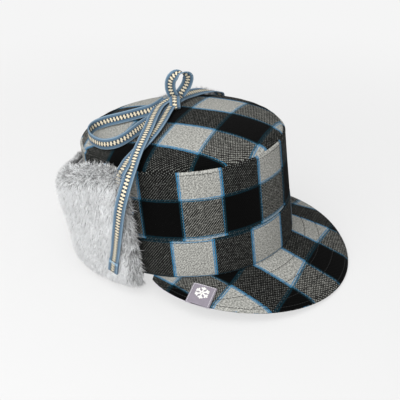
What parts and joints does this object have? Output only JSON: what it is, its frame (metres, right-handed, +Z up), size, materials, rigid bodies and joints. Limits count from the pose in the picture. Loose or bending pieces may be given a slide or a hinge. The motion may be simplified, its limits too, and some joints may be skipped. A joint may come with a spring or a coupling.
{
  "type": "trapper hat",
  "caption": "Peaked trapper hat in plaid wool, its fur-lined ear and neck flaps folded up against the crown and tied over the top with woven tapes.",
  "frame": {"origin": "on the surface the hat stands on, under the middle of its bounding box without the tapes", "axes": "+Z up, the brim points to -Y, the wearer's left is +X"},
  "size_m": [0.2313, 0.281, 0.1739],
  "materials": {
    "plaid_wool": "brushed wool twill",
    "faux_fur": "deep pile",
    "woven_tape": "flat woven",
    "lining": "quilted satin",
    "sweatband": "brushed twill tape",
    "brim_board": "matte",
    "label": "damask woven"
  },
  "bodies": {
    "crown": {"crown_tip": "plaid_wool", "crown_side_right": "plaid_wool", "crown_side_left": "plaid_wool", "lower_band": "plaid_wool", "lining_tip": "lining", "lining_side": "lining", "sweatband": "sweatband", "brim_top_cover": "plaid_wool", "brim_board": "brim_board", "brim_under_cover": "plaid_wool", "label_tag": "label"},
    "right_ear_flap": {"right_ear_flap_shell": "plaid_wool", "right_ear_flap_fur": "faux_fur"},
    "right_rear_flap": {"right_rear_flap_shell": "plaid_wool", "right_rear_flap_fur": "faux_fur"},
    "neck_flap": {"neck_flap_shell": "plaid_wool", "neck_flap_fur": "faux_fur"},
    "left_rear_flap": {"left_rear_flap_shell": "plaid_wool", "left_rear_flap_fur": "faux_fur"},
    "left_ear_flap": {"left_ear_flap_shell": "plaid_wool", "left_ear_flap_fur": "faux_fur"},
    "right_tie_and_bow": {"right_tie": "woven_tape", "bow_knot": "woven_tape", "large_loop": "woven_tape", "small_loop": "woven_tape"},
    "left_tie": {"left_tie": "woven_tape"},
    "tail": {"tail": "woven_tape", "tail_hem": "woven_tape"}
  },
  "joints": [
    {"name": "neck_fold", "type": "hinge", "parent": "crown", "child": "neck_flap", "pos_m": [0, 0.1127, 0.00168], "axis": [-1, 0, 0], "range_deg": [0, 165]},
    {"name": "right_rear_fold", "type": "hinge", "parent": "crown", "child": "right_rear_flap", "pos_m": [-0.05159, 0.09487, 0.00355], "axis": [-0.7911, -0.6083, 0.0639], "range_deg": [0, 165]},
    {"name": "left_rear_fold", "type": "hinge", "parent": "crown", "child": "left_rear_flap", "pos_m": [0.05159, 0.09487, 0.00355], "axis": [-0.7911, 0.6083, -0.0639], "range_deg": [0, 165]},
    {"name": "right_ear_fold", "type": "hinge", "parent": "crown", "child": "right_ear_flap", "pos_m": [-0.08287, 0.04687, 0.00859], "axis": [-0.2541, -0.9619, 0.1011], "range_deg": [0, 165]},
    {"name": "left_ear_fold", "type": "hinge", "parent": "crown", "child": "left_ear_flap", "pos_m": [0.08287, 0.04687, 0.00859], "axis": [-0.2541, 0.9619, -0.1011], "range_deg": [0, 165]},
    {"name": "right_tie_swing", "type": "hinge", "parent": "right_ear_flap", "child": "right_tie_and_bow", "pos_m": [-0.112, 0.02956, 0.11599], "axis": [-0.2541, -0.9619, 0.1011], "range_deg": [0, 92.4]},
    {"name": "left_tie_swing", "type": "hinge", "parent": "left_ear_flap", "child": "left_tie", "pos_m": [0.112, 0.02956, 0.11599], "axis": [-0.2541, 0.9619, -0.1011], "range_deg": [0, 92.4]},
    {"name": "tail_swing", "type": "hinge", "parent": "right_tie_and_bow", "child": "tail", "pos_m": [0.016, 0.04453, 0.14358], "axis": [-0.2541, -0.9619, 0.1011], "range_deg": [-212.85, 0], "deforming": ["tail"]}
  ],
  "couplings": [
    {"joint": "right_rear_fold", "follows": "neck_fold", "ratio": 1},
    {"joint": "left_rear_fold", "follows": "neck_fold", "ratio": 1},
    {"joint": "right_ear_fold", "follows": "neck_fold", "ratio": 1},
    {"joint": "left_ear_fold", "follows": "neck_fold", "ratio": 1},
    {"joint": "right_tie_swing", "follows": "neck_fold", "ratio": 0.56},
    {"joint": "left_tie_swing", "follows": "neck_fold", "ratio": 0.56},
    {"joint": "tail_swing", "follows": "neck_fold", "ratio": -1.29}
  ]
}
